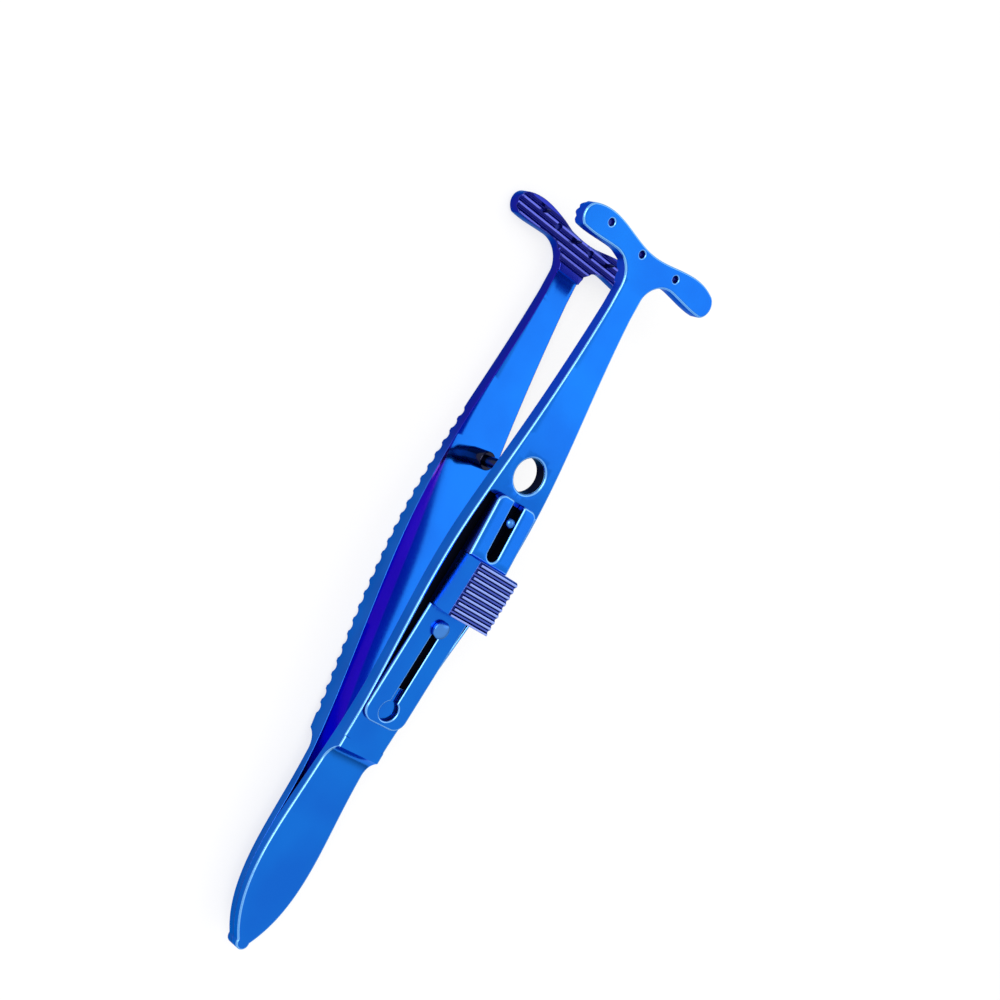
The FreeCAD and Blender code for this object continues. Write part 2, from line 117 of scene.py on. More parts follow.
# %% Heights of an arm's two sides
JAW_ANGLE = math.radians(4.352)
PAD_START = 93.65
SLIDE_SLOPE = 0.095
JAW_THICKNESS = 1.9
RIDGE_GROOVE_DEPTH = 0.34
RIDGE_GROOVE_HALF = 0.38
RIDGE_PAD_HALF = 6
FULL_RIDGE_GROOVES = 3
POCKET_RIM = 0.36
POCKET_DEPTH = 0.95
POCKET_ROUND = 0.07
POCKET_WALL = 0.06
SLIDE_PLAY = 0.06


def jaw_inner(x):
    return 5.9 + (x - JAW_X) * math.tan(JAW_ANGLE)


def jaw_outer(x):
    return jaw_inner(x) + JAW_THICKNESS / math.cos(JAW_ANGLE)


def step_arc(x):
    """The hollow curve with which a leaf climbs to the arm's step."""
    return STEP_Z + STEP_RADIUS - np.sqrt(np.maximum(STEP_RADIUS ** 2 - (x - STEP_X) ** 2, 0.02))


INNER = smooth_line([(13, 0), (17, 0.075), (21, 0.3), (ARM_X, 1.05), (36.25, 2.225), (45, 3.1), (56, 4.1),
                     (LOCK_X, 5.15), (84, 5.6), (PAD_START, jaw_inner(PAD_START) + RIDGE_GROOVE_DEPTH)])
LEAF = smooth_line([(-3, 1.3), (12.7, 1.3), (21, 1.6), (STEP_X, STEP_Z)])
FRONT_BACK = smooth_line([(ARM_X, 3.65), (SEAT_X, 4.06), (45, 5.0), (56, 6.1), (LOCK_X, 7.1), (84, 7.43),
                          (PAD_START, jaw_outer(PAD_START))])
REAR_SHOULDER = smooth_line([(ARM_X, 3.65), (36, 5.2), (45, 6.1)])
REAR_NECK = smooth_line([(73, 7.3), (84, 7.43), (PAD_START, jaw_outer(PAD_START))])
REAR_BACK = np.concatenate([REAR_SHOULDER, REAR_NECK])


def inner_side(x, y):
    """Inner side of an arm, with the V grooves that leave ridges on the jaw."""
    z = np.interp(x, INNER[:, 0], INNER[:, 1], left=0.0)
    z = np.where(x >= PAD_START, jaw_inner(x), z)
    for i, groove in enumerate(RIDGE_GROOVES):
        depth = RIDGE_GROOVE_DEPTH * np.clip(1 - np.abs(x - groove) / RIDGE_GROOVE_HALF, 0, 1)
        z = z + np.where((np.abs(y) < RIDGE_PAD_HALF) | (i < FULL_RIDGE_GROOVES), depth, 0)
    return z


def leaf_and(back, x):
    """Outer side: the leaf, the step and then the arm's own back."""
    z = np.interp(x, LEAF[:, 0], LEAF[:, 1])
    z = np.where(x > STEP_X, step_arc(x), z)
    z = np.where(x > ARM_X, np.interp(x, back[:, 0], back[:, 1]), z)
    return np.where(x > PAD_START, jaw_outer(x), z)


def into_pocket(x, y):
    """How far a point lies inside the pocket's edge; negative outside it."""
    side = np.interp(x, flank[:, 0], flank[:, 1]) - POCKET_RIM - np.abs(y)
    return np.minimum(side, np.minimum(x - POCKET_START_X, POCKET_END_X - x))


def front_outer(x, y):
    """The front arm's back, with the seat of the slide and the pocket under it."""
    underside = SEAT_Z + (x - SEAT_X) * SLIDE_SLOPE
    z = leaf_and(FRONT_BACK, x)
    z = np.where((x > 29) & (x < 71), np.minimum(z, underside - SLIDE_PLAY), z)
    inside = into_pocket(x, y)
    z = z - 0.05 * np.clip((inside + POCKET_ROUND) / POCKET_ROUND, 0, 1) ** 2
    wall = np.clip(inside / POCKET_WALL, 0, 1)
    return np.where(inside > 0, z * (1 - wall) + (underside - POCKET_DEPTH) * wall, z)


def rear_outer(x, y):
    """The rear arm's back, scalloped by the round cutter that made the grip ribs."""
    z = leaf_and(REAR_BACK, x)
    for groove in GRIP_GROOVES:
        centre = np.interp(groove, REAR_BACK[:, 0], REAR_BACK[:, 1]) + 0.33
        reach = GRIP_CUTTER_RADIUS ** 2 - (x - groove) ** 2
        z = np.where(reach > 0, np.minimum(z, centre - np.sqrt(np.maximum(reach, 0))), z)
    return z


GRIP_CUTTER_RADIUS = 0.75
RIDGE_GROOVES = [100 - 0.98 - i * 1.02 for i in range(5)]
GRIP_GROOVES = [30.0 + i * 1.8 for i in range(24)]
print("%d grip grooves, %d ridge grooves" % (len(GRIP_GROOVES), len(RIDGE_GROOVES)))

# %% [markdown]
# ## The outline, seen from above
# Half of the outline is drawn, from the rounded rear tip along the flank and the slim neck, round
# the lobe of the jaw and back to the middle of its gently waved front. The other half mirrors it.

# %% The plan outline
def circle_arc(centre, radius, start, end, count=24):
    angles = np.radians(np.linspace(start, end, count))
    return np.stack([centre[0] + radius * np.cos(angles), centre[1] + radius * np.sin(angles)], 1)


def even_steps(line, step, closed=True):
    """The same line with its points at even steps."""
    if closed:
        line = np.concatenate([line, line[:1]])
    keep = np.concatenate([[True], np.linalg.norm(np.diff(line, axis=0), axis=1) > 1e-6])
    line = line[keep]
    way = np.concatenate([[0], np.cumsum(np.linalg.norm(np.diff(line, axis=0), axis=1))])
    count = max(8, int(round(way[-1] / step)))
    marks = np.linspace(0, way[-1], count + 1)[:-1]
    return np.stack([np.interp(marks, way, line[:, 0]), np.interp(marks, way, line[:, 1])], 1)


flank = smooth_line([(1.1, 0.938), (6.6, 3.38), (12, 4.0), (19.75, 3.65), (27.5, 3.3), (41.75, 3.95),
                     (56, 4.8), (73.25, 3.475), (90.5, 1.95)])
half_outline = np.concatenate([
    circle_arc((0.95, 0), 0.95, 180, 99.1, 8),
    flank,
    circle_arc((93.1, 5.4), 3.45, -90, 0)[1:],
    smooth_line([(96.55, 5.4), (96.4, 7.5), (96.25, 9.6), (96.3, 11.5)])[1:],
    circle_arc((97.84, 10.632), 1.768, 150.6, 29.4)[1:],
    smooth_line([(99.38, 11.5), (99.95, 7.6), (99.18, 3.24), (98.8, 0)])[1:],
])
outline = np.concatenate([half_outline * (1, -1), half_outline[::-1][1:]])
print("jaw span %.2f mm" % (half_outline[:, 1].max() * 2))

# %% [markdown]
# ## A plate with rounded rims
# Every flat piece of the instrument is a plate: an outline with holes, a height field above and
# one below, and rims that are rounded a little, because a real edge is never razor sharp and its
# small round catches the light. Rings of points follow each rim down its quarter circle, and a
# Delaunay triangulation fills the two faces between them. Rows of inner points lie wherever the
# height changes quickly, such as on a rib.

# %% Build a plate
def inside(points, loops):
    """Which points lie between the outline and its holes, by counting crossings."""
    odd = np.zeros(len(points), bool)
    for loop in loops:
        ahead = np.roll(loop, -1, axis=0)
        for (x0, y0), (x1, y1) in zip(loop, ahead):
            crosses = (y0 > points[:, 1]) != (y1 > points[:, 1])
            if crosses.any():
                at = x0 + (points[crosses, 1] - y0) / (y1 - y0) * (x1 - x0)
                odd[np.flatnonzero(crosses)[at > points[crosses, 0]]] ^= True
    return odd


def cap(rings, creases, rows, spread):
    """Triangles over one face: returns its extra points, and faces that count the rings' points first."""
    edge_points = np.concatenate(rings + creases)
    low, high = edge_points.min(0), edge_points.max(0)
    grid, own_row = [], []
    for row, x in enumerate(rows):
        step = 0.25 if x > PAD_START - 0.1 else spread
        across = np.arange(low[1] + step / 2, high[1], step)
        grid += [(x, y) for y in across]
        own_row += [row] * len(across)
    grid, own_row = np.array(grid), np.array(own_row)
    keep = inside(grid, rings)
    for start in range(0, len(grid), 2000):
        part = grid[start:start + 2000]
        keep[start:start + 2000] &= np.linalg.norm(part[:, None] - edge_points[None], axis=2).min(1) > 0.09
    grid, own_row = grid[keep], own_row[keep]
    points = np.concatenate([edge_points, grid])
    edges, first = [], 0
    for loop in rings + creases:
        count = len(loop)
        edges += [(first + i, first + (i + 1) % count) for i in range(count)]
        first += count
    for i in range(len(grid) - 1):
        if own_row[i] == own_row[i + 1] and grid[i + 1, 1] - grid[i, 1] < 0.3:
            edges.append((first + i, first + i + 1))
    found = delaunay_2d_cdt([Vector(p) for p in points], edges, [], 0, 1e-7)
    own = [ids[0] if ids else -1 for ids in found[3]]
    faces = np.array([[own[i] for i in face] for face in found[2]])
    faces = faces[(faces >= 0).all(1)]
    middle = points[faces].mean(1)
    extra = np.concatenate(creases + [grid])
    return extra, faces[inside(middle, rings)]


OUTER, WALL, OUTER_RIM, INNER_RIM, INNER_FACE = range(5)


def plate(loops, rows, top, bottom, spread=1.0, turns=4, creases=()):
    """loops: (points, radius of the upper rim, radius of the lower rim), outline first."""
    verts, faces, kinds = [], [], []
    upper_rings, lower_rings, upper_ids, lower_ids = [], [], [], []
    total = 0
    for loop, upper, lower in loops:
        along = np.roll(loop, -1, axis=0) - np.roll(loop, 1, axis=0)
        along /= np.linalg.norm(along, axis=1)[:, None]
        outward = np.stack([along[:, 1], -along[:, 0]], 1)
        count = len(loop)
        levels = []
        for k in range(turns, -1, -1):
            phi = math.pi / 2 * k / turns
            ring = loop - outward * lower * (1 - math.cos(phi))
            levels.append((ring, bottom(ring[:, 0], ring[:, 1]) + lower * (1 - math.sin(phi))))
        for k in range(turns + 1):
            phi = math.pi / 2 * k / turns
            ring = loop - outward * upper * (1 - math.cos(phi))
            levels.append((ring, top(ring[:, 0], ring[:, 1]) - upper * (1 - math.sin(phi))))
        for level, (ring, height) in enumerate(levels):
            verts.append(np.column_stack([ring, height]))
            if level:
                a = total + (level - 1) * count + np.arange(count)
                b = total + (level - 1) * count + (np.arange(count) + 1) % count
                faces += np.column_stack([a, b, b + count, a + count]).tolist()
                kinds += [INNER_RIM if level <= turns else WALL if level == turns + 1 else OUTER_RIM] * count
        lower_rings.append(levels[0][0])
        upper_rings.append(levels[-1][0])
        lower_ids += (total + np.arange(count)).tolist()
        upper_ids += (total + (len(levels) - 1) * count + np.arange(count)).tolist()
        total += len(levels) * count
    for rings, folds, ids, height, kind in ((upper_rings, list(creases), upper_ids, top, OUTER),
                                            (lower_rings, [], lower_ids, bottom, INNER_FACE)):
        extra, triangles = cap(rings, folds, rows, spread)
        ids = np.array(ids + (total + np.arange(len(extra))).tolist())
        verts.append(np.column_stack([extra, height(extra[:, 0], extra[:, 1])]))
        total += len(extra)
        points = np.concatenate(rings + [extra])
        a, b, c = points[triangles[:, 0]], points[triangles[:, 1]], points[triangles[:, 2]]
        area = (b[:, 0] - a[:, 0]) * (c[:, 1] - a[:, 1]) - (b[:, 1] - a[:, 1]) * (c[:, 0] - a[:, 0])
        triangles[area < 0] = triangles[area < 0][:, ::-1]
        if kind == INNER_FACE:
            triangles = triangles[:, ::-1]
        faces += ids[triangles].tolist()
        kinds += [kind] * len(triangles)
    return np.concatenate(verts), faces, kinds


def make_piece(name, shape, place, finish, rules=()):
    """A mesh object with its place in its mesh. Each rule gives a finish to some faces, by their
    middles in millimetres and their kinds."""
    verts, faces, kinds = shape
    mesh = bpy.data.meshes.new(name)
    mesh.from_pydata([place @ Vector(v) for v in verts], [], faces)
    mesh.materials.append(finish)
    if rules:
        middles = np.array([np.mean([verts[i] for i in face], axis=0) for face in faces])
        chosen = np.zeros(len(faces), int)
        for number, (material, rule) in enumerate(rules, start=1):
            mesh.materials.append(material)
            chosen[rule(middles, np.array(kinds))] = number
        mesh.polygons.foreach_set("material_index", chosen.tolist())
    mesh.shade_smooth()
    mesh.set_sharp_from_angle(angle=math.radians(28))
    piece = bpy.data.objects.new(name, mesh)
    bpy.context.scene.collection.objects.link(piece)
    print("%-22s %6d faces, %d finishes" % (name, len(mesh.polygons), len(mesh.materials)))
    return piece


# %% [markdown]
# ## Anodised titanium
# Titanium is turned blue in an electric bath that grows a clear oxide layer. Light reflected at
# the top and the bottom of the layer interferes, so the colour is that of a metal, not of a paint:
# it tints the highlights, and it deepens to violet where blue light falls on blue metal. The metal
# was finished satin before the bath. A metallic base gives that, a thin clear coat stands for the
# glassy oxide, and slow noise shifts the hue as the layer's thickness does on real parts.

# %% Colours and the anodised finishes
def linear(code):
    """An sRGB hex colour as the linear values that the shader takes."""
    parts = [int(code[i:i + 2], 16) / 255 for i in (1, 3, 5)]
    return [c / 12.92 if c <= 0.04045 else ((c + 0.055) / 1.055) ** 2.4 for c in parts] + [1.0]


def add(tree, kind, links=(), **settings):
    """One node with its settings; links are (own input, from socket)."""
    node = tree.nodes.new(kind)
    for key, value in settings.items():
        if key.startswith("in_"):
            node.inputs[key[3:].replace("_", " ")].default_value = value
        else:
            setattr(node, key, value)
    for socket, source in links:
        tree.links.new(source, node.inputs[socket])
    return node


def anodised(name, colour, deep, roughness, painted_tint=None, coat=0.3):
    """Satin titanium under a clear blue oxide. The hue drifts over 9 mm from colour to deep, and the
    grain is that of fine glass beads. The last argument is painted shade: a colour with a direction,
    and the distances along it, in metres, between which the colour turns into that painted shade."""
    material = bpy.data.materials.new(name)
    material.use_nodes = True
    tree = material.node_tree
    tree.nodes.clear()
    place = add(tree, "ShaderNodeTexCoord")
    drift = add(tree, "ShaderNodeTexNoise", [("Vector", place.outputs["Object"])],
                in_Scale=110.0, in_Detail=2.0)
    hue = add(tree, "ShaderNodeValToRGB", [("Fac", drift.outputs["Fac"])])
    hue.color_ramp.elements[0].position = 0.35
    hue.color_ramp.elements[0].color = linear(deep)
    hue.color_ramp.elements[1].position = 0.65
    hue.color_ramp.elements[1].color = linear(colour)
    tint = hue.outputs["Color"]
    if painted_tint:
        other, direction, start, end = painted_tint
        along = add(tree, "ShaderNodeVectorMath", [(0, place.outputs["Object"])], operation="DOT_PRODUCT")
        along.inputs[1].default_value = direction
        share = add(tree, "ShaderNodeMapRange", [("Value", along.outputs["Value"])],
                    interpolation_type="SMOOTHSTEP")
        share.inputs["From Min"].default_value = start
        share.inputs["From Max"].default_value = end
        change = add(tree, "ShaderNodeMix", [("Factor", share.outputs["Result"])], data_type="RGBA")
        tree.links.new(tint, change.inputs[6])
        change.inputs[7].default_value = linear(other)
        tint = change.outputs[2]
    fine = add(tree, "ShaderNodeTexNoise", [("Vector", place.outputs["Object"])],
               in_Scale=2600.0, in_Detail=2.0)
    rough = add(tree, "ShaderNodeMapRange", [("Value", fine.outputs["Fac"])])
    rough.inputs["To Min"].default_value = roughness - 0.03
    rough.inputs["To Max"].default_value = roughness + 0.03
    bump = add(tree, "ShaderNodeBump", [("Height", fine.outputs["Fac"])],
               in_Strength=0.03, in_Distance=0.00002)
    metal = add(tree, "ShaderNodeBsdfPrincipled", [
        ("Base Color", tint),
        ("Roughness", rough.outputs["Result"]),
        ("Normal", bump.outputs["Normal"]),
    ], in_Metallic=1.0, in_Coat_Weight=coat, in_Coat_Roughness=0.12, in_Specular_Tint=(0.35, 0.6, 1.0, 1.0))
    add(tree, "ShaderNodeOutputMaterial", [("Surface", metal.outputs["BSDF"])])
    return material


# Broad faces: an even, saturated blue that takes a soft sheen from the lamps.
face_finish = anodised("satin_anodised_titanium", "#0A70DC", "#0866D4", 0.20, coat=0.15)
# The front arm's inner side sees little light, so it is painted darker and more violet: painted shade.
inner_painted_shade = anodised("violet_painted_shade_inner", "#4844CC", "#3C38BE", 0.16)
# The rear arm's inner side is the smoothest. Along its left edge it is painted violet, a painted shadow
# and reflection of the front arm, which gives the deep band between the ribs and the blue.
facing_with_painted_band = anodised("blue_and_painted_violet_band", "#0A6CD8", "#0862CE", 0.13, coat=0.15,
                         painted_tint=("#8440F0", (-0.08, 1.0, 0.0), 0.0024, 0.0028))
# Milled flanks are duller than the faces. Towards the jaws they darken with painted shade, which sets off
# the pale rims.
flank_with_painted_shade = anodised("milled_and_painted_shade_to_jaws", "#1F62C4", "#1B56B4", 0.30, coat=0.0,
                        painted_tint=("#1A38B0", (1.0, 0.0, 0.0), 0.012, 0.030))
# The rear arm's flanks and rims darken to navy towards the jaws: painted shade.
back_flank_with_painted_shade = anodised("milled_and_painted_navy_shade_to_jaws", "#1F5CB8", "#1B50A8", 0.30, coat=0.0,
                             painted_tint=("#1E1A90", (1.0, 0.0, 0.0), 0.008, 0.022))
# Rims are painted pale, a painted highlight: pale lines that draw the shape.
rim_painted_highlight = anodised("pale_painted_highlight_rims", "#7CC0FF", "#6CB2FF", 0.22)
# The pocket, the slots and the lock hole's wall are painted near black: painted shade of the recesses.
recess_painted_shade = anodised("near_black_painted_shade_recess", "#1B2036", "#15182A", 0.55, coat=0.0)
# The jaw's grooves and lands are navy, the grooves darker as painted shade, and only the narrow ridges
# between grooves turn lavender, a painted highlight.
groove_painted_shade = anodised("navy_painted_shade_groove", "#1F2698", "#1A2088", 0.30)
land_finish = anodised("navy_ground_land", "#2230B4", "#1C28A0", 0.28)
ridge_painted_highlight = anodised("lavender_painted_highlight_ridge", "#6068D4", "#525CC6", 0.28)
# The thumb block's bars: crests painted bright as a painted highlight, sides painted navy as painted shade,
# and a dimmer floor, read as fine stripes.
crest_painted_highlight = anodised("bright_painted_highlight_crest", "#9CB4FF", "#90A6FA", 0.22)
side_painted_shade = anodised("navy_painted_shade_side", "#1A2E80", "#162874", 0.30, coat=0.1)
floor_finish = anodised("lavender_milled_groove_floor", "#5468CC", "#485CC0", 0.28)
# The stud is painted nearly black, as painted shade under the front arm. The jaw pins are dark points, and
# the guide pins catch the light.
stud_painted_shade = anodised("near_black_painted_shade_stud", "#0C0E2A", "#0A0C22", 0.25)
needle_finish = anodised("dark_drawn_titanium", "#1C2260", "#161A50", 0.25)
pin_finish = anodised("turned_anodised_titanium", "#4C92E4", "#3C80D6", 0.22)

# %% [markdown]
# ## The two arms
# Each arm is one strip of titanium with its leaf and its jaw: the leaf bends, the rest stays stiff.
# Holes in the jaws take the pins of the other jaw, and the front arm has the round hole that the
# lock stud passes. The rear arm is the same strip turned over, with a ribbed back for the fingers.

# %% Holes and rows of points
PIN_PITCH = 3.27
PIN_PLACES = (1.5, -0.5, -2.5)
HOLE_PLACES = (2.5, 0.5, -1.5)
JAW_HOLE_RADIUS = 0.475
LOCK_HOLE_RADIUS = 2.3


def on_jaw(place):
    """Centre of a jaw's pin or hole."""
    y = place * PIN_PITCH
    return JAW_X + 0.73 * (place / 2.5) ** 2, y


def round_hole(x, y, radius, count):
    return circle_arc((x, y), radius, 360, 0, count + 1)[:-1]


jaw_rows = np.unique(np.concatenate([[PAD_START - 0.01, PAD_START + 0.01], np.array(
    [(g - 0.38, g - 0.19, g - 0.02, g + 0.02, g + 0.19, g + 0.38) for g in RIDGE_GROOVES]).ravel(), [99.7]]))
leaf_rows = [np.arange(0.6, 24.9, 0.7), np.arange(24.98, ARM_X, 0.25), [ARM_X - 0.01, ARM_X + 0.01]]
plain_rows = np.concatenate(leaf_rows + [np.arange(28.2, 93.4, 0.7)])
grip_rows = np.concatenate(leaf_rows + [[28.2, 28.9],
                            np.array([g + np.array([-0.9, -0.674, -0.5, -0.3, -0.1, 0.1, 0.3, 0.5, 0.674])
                                      for g in GRIP_GROOVES]).ravel(), [72.3], np.arange(73, 93.4, 0.7)])
jaw_holes = [(round_hole(*on_jaw(place), JAW_HOLE_RADIUS, 28), 0.16, 0.06) for place in HOLE_PLACES]


def pocket_line(inset):
    """The pocket's edge, moved inwards by inset."""
    x = np.linspace(POCKET_START_X + inset, POCKET_END_X - inset, 90)
    y = np.interp(x, flank[:, 0], flank[:, 1]) - POCKET_RIM - inset
    return np.concatenate([np.column_stack([x, -y]), np.column_stack([x, y])[::-1]])


# %% Which faces take which finish
def walls(c, kind):
    return kind == WALL


def slot_walls(c, kind):
    """Walls of the slide's two slots, which see little light; not its sides and ends."""
    return (kind == WALL) & (np.abs(c[:, 1]) < 1.5) & (c[:, 0] > 32.3) & (c[:, 0] < 62.9)


def rims(c, kind):
    return kind == OUTER_RIM


def lock_bore(c, kind):
    """Wall of the lock hole."""
    near = np.hypot(c[:, 0] - LOCK_X, c[:, 1]) < LOCK_HOLE_RADIUS + 0.1
    return near & ((kind == WALL) | (kind == INNER_RIM))


def pin_bores(c, kind):
    """Walls of the holes that take the other arm's pins."""
    middles = [on_jaw(place) for place in HOLE_PLACES]
    near = np.any([np.hypot(c[:, 0] - x, c[:, 1] - y) < JAW_HOLE_RADIUS + 0.075 for x, y in middles], axis=0)
    return near & ((kind == WALL) | (kind == INNER_RIM))


# The pocket's faces take the near-black painted shade.
def pocket_faces(c, kind):
    return (kind == OUTER) & (into_pocket(c[:, 0], c[:, 1]) > -0.01)


# The pocket's rim line is painted pale, a painted highlight.
def pocket_rim(c, kind):
    d = into_pocket(c[:, 0], c[:, 1])
    return (kind == OUTER) & (d > -0.12) & (d <= -0.01)


def on_ridges(c, kind):
    return ((kind == INNER_FACE) | (kind == INNER_RIM)) & (c[:, 0] > PAD_START)


def lands(c, kind):
    return on_ridges(c, kind) & (np.abs(c[:, 2] - jaw_inner(c[:, 0])) < 0.03)


def crests(c, kind):
    """The narrow lands between two neighbouring grooves."""
    middles = (np.array(RIDGE_GROOVES[1:]) + np.array(RIDGE_GROOVES[:-1])) / 2
    near = np.min(np.abs(c[:, :1] - middles), axis=1) < 0.12
    return lands(c, kind) & near


def inner_rims(c, kind):
    return kind == INNER_RIM


def inner_faces(c, kind):
    return (kind == INNER_FACE) | (kind == INNER_RIM)


# %% Front arm
lock_hole = (round_hole(LOCK_X, 0, LOCK_HOLE_RADIUS, 96), 0.26, 0.15)
front_shape = plate([(even_steps(outline, 0.1), 0.20, 0.12), lock_hole] + jaw_holes,
                    np.concatenate([plain_rows, jaw_rows]), front_outer, inner_side,
                    creases=[pocket_line(inset) for inset in (-POCKET_ROUND, -0.035, 0.0, POCKET_WALL)])
# Painted shade: the flanks towards the jaws, the inner side, the jaw's grooves, the pin holes, the lock hole
# and the pocket. Painted highlight: the rims, the ridges and the pocket's rim.
front_arm = make_piece("front_arm_strip", front_shape, LAID, face_finish, [
    (flank_with_painted_shade, walls), (rim_painted_highlight, rims), (inner_painted_shade, inner_faces), (groove_painted_shade, on_ridges),
    (land_finish, lands), (ridge_painted_highlight, crests), (recess_painted_shade, lock_bore), (groove_painted_shade, pin_bores),
    (recess_painted_shade, pocket_faces), (rim_painted_highlight, pocket_rim)])

# %% Rear arm
rear_shape = plate([(even_steps(outline, 0.1), 0.26, 0.12)] + jaw_holes,
                   np.concatenate([grip_rows, jaw_rows]), rear_outer, inner_side)
# Painted shade: the flanks and rims towards the jaws, the violet band on the inner side, the jaw's grooves
# and the pin holes. Painted highlight: the ridges.
rear_arm = make_piece("rear_arm_strip", rear_shape, LAID @ OVER, face_finish, [
    (back_flank_with_painted_shade, walls), (back_flank_with_painted_shade, rims), (facing_with_painted_band, inner_faces),
    (back_flank_with_painted_shade, inner_rims), (groove_painted_shade, on_ridges),
    (land_finish, lands), (ridge_painted_highlight, crests), (groove_painted_shade, pin_bores)])

# %% [markdown]
# ## The slide
# Plate, thumb block and fork move together in one line along the front arm. They are plates too,
# drawn along the slide's own axis. The keyhole lets the guide pin's head through when the
# instrument is taken apart, and the fork's slot is open in front, to go round the lock stud.

# %% The slide's own place
SLIDE_ANGLE = math.atan(SLIDE_SLOPE)
ON_SLIDE = (LAID @ Matrix.Translation((SEAT_X, 0, SEAT_Z)) @ Matrix.Rotation(-SLIDE_ANGLE, 4, "Y")
            @ Matrix.Translation((-SEAT_X, 0, 0)))
SLIDE_HALF = 3.3


def along_slide(x):
    return SEAT_X + (x - SEAT_X) / math.cos(SLIDE_ANGLE)


def rounded_box(start, end, half, rear_radius, front_radius):
    """Outline of a box along X with round corners, counter-clockwise."""
    corners = [((start + rear_radius, -half + rear_radius), rear_radius, 180),
               ((end - front_radius, -half + front_radius), front_radius, 270),
               ((end - front_radius, half - front_radius), front_radius, 0),
               ((start + rear_radius, half - rear_radius), rear_radius, 90)]
    return np.concatenate([circle_arc(c, r, turn, turn + 90, 12) for c, r, turn in corners])


def level(height):
    return lambda x, y: np.full(np.shape(x), float(height))


# %% Keyhole plate
BLOCK_LENGTH, BLOCK_HEIGHT = 7.45, 5.0
KEYHOLE_RADIUS, KEYHOLE_SLOT_HALF = 1.35, 0.55
block_start = along_slide(BLOCK_X)
block_end = block_start + BLOCK_LENGTH
keyhole_x, pin_x = along_slide(34.0), along_slide(45.7)
mouth = math.degrees(math.asin(KEYHOLE_SLOT_HALF / KEYHOLE_RADIUS))
keyhole = np.concatenate([circle_arc((keyhole_x, 0), KEYHOLE_RADIUS, mouth, 360 - mouth, 40),
                          circle_arc((pin_x, 0), KEYHOLE_SLOT_HALF, -90, 90, 14)])[::-1]
plate_outline = rounded_box(along_slide(PLATE_TAIL_X), block_start, SLIDE_HALF, 1.7, 0.05)
plate_shape = plate([
    (even_steps(plate_outline, 0.15), 0.20, 0.04),
    (even_steps(keyhole, 0.12), 0.18, 0.04)], np.arange(31, 48, 0.8), level(0.55), level(0.0))
# The plate's outer walls are painted navy and its slot's walls near black, both painted shade; its rims are
# a painted highlight.
keyhole_plate = make_piece("keyhole_plate_sheet", plate_shape, ON_SLIDE, face_finish, [
    (side_painted_shade, walls), (recess_painted_shade, slot_walls), (rim_painted_highlight, rims)])

# %% Lock fork
FORK_SLOT_HALF = 0.9
fork_end = along_slide(FORK_FRONT_X)
slot_end = along_slide(55.9) + FORK_SLOT_HALF
prong = circle_arc((fork_end - 1.1, SLIDE_HALF - 1.1), 1.1, 0, 90, 12)
fork_half = np.concatenate([[(slot_end, FORK_SLOT_HALF), (fork_end - 0.25, FORK_SLOT_HALF)],
                            circle_arc((fork_end - 0.25, 1.15), 0.25, -90, 0, 6), prong])
bay = circle_arc((slot_end, 0), FORK_SLOT_HALF, 90, 270, 24)
fork_outline = np.concatenate([fork_half, [(block_end, SLIDE_HALF), (block_end, -SLIDE_HALF)],
                               (fork_half * (1, -1))[::-1], bay[::-1][1:-1]])


def fork_top(x, y):
    return 2.0 - 0.9 * np.clip((x - block_end) / (fork_end - block_end), 0, 1)


fork_shape = plate([(even_steps(fork_outline, 0.12), 0.24, 0.05)],
                   np.arange(55, 64.5, 0.8), fork_top, level(0.0))
# The fork's outer walls are painted navy and its slot's walls near black, both painted shade; its rims are a
# painted highlight.
lock_fork = make_piece("lock_fork_tongue", fork_shape, ON_SLIDE, face_finish, [
    (side_painted_shade, walls), (recess_painted_shade, slot_walls), (rim_painted_highlight, rims)])

# %% [markdown]
# ## Thumb block
# A rectangular block with cross grooves, so that a wet glove doesn't slip. Grooves at an even
# pitch are a job for Geometry Nodes: one bar with leaning sides and a narrow flat crest is set on
# every point of a line along the block's top. Between two bars stays a narrow strip of the block,
# which is the flat floor of the groove. The rearmost bar is upright at its back, so it's a bar of
# its own, set by the same node tree.

# %% Block without its ribs
RIB_COUNT = 8
RIB_HEIGHT = 0.4
RIB_PITCH = 0.867
FIRST_GROOVE = 0.56
block_outline = rounded_box(block_start, block_end, SLIDE_HALF, 0.12, 0.12)
block_shape = plate([(even_steps(block_outline, 0.15), 0.03, 0.05)],
                    np.arange(block_start + 0.5, block_end, 1.2),
                    level(BLOCK_HEIGHT - RIB_HEIGHT), level(0.0))
block_body = make_piece("thumb_block_body", block_shape, ON_SLIDE, floor_finish, [(face_finish, walls)])

# %% One rib and the tree that repeats it
def bar(name, profile, half_width):
    """A short bar across the slide; its profile is in X and Z."""
    verts = [(x, side * (half_width - 0.12 * (z > 0.1)), z) for side in (-1, 1) for x, z in profile]
    count = len(profile)
    faces = [tuple(range(count)), tuple(range(2 * count - 1, count - 1, -1))]
    faces += [(i, i + count, (i + 1) % count + count, (i + 1) % count) for i in range(count)]
    mesh = bpy.data.meshes.new(name)
    mesh.from_pydata(verts, [], faces)
    return bpy.data.objects.new(name, mesh)


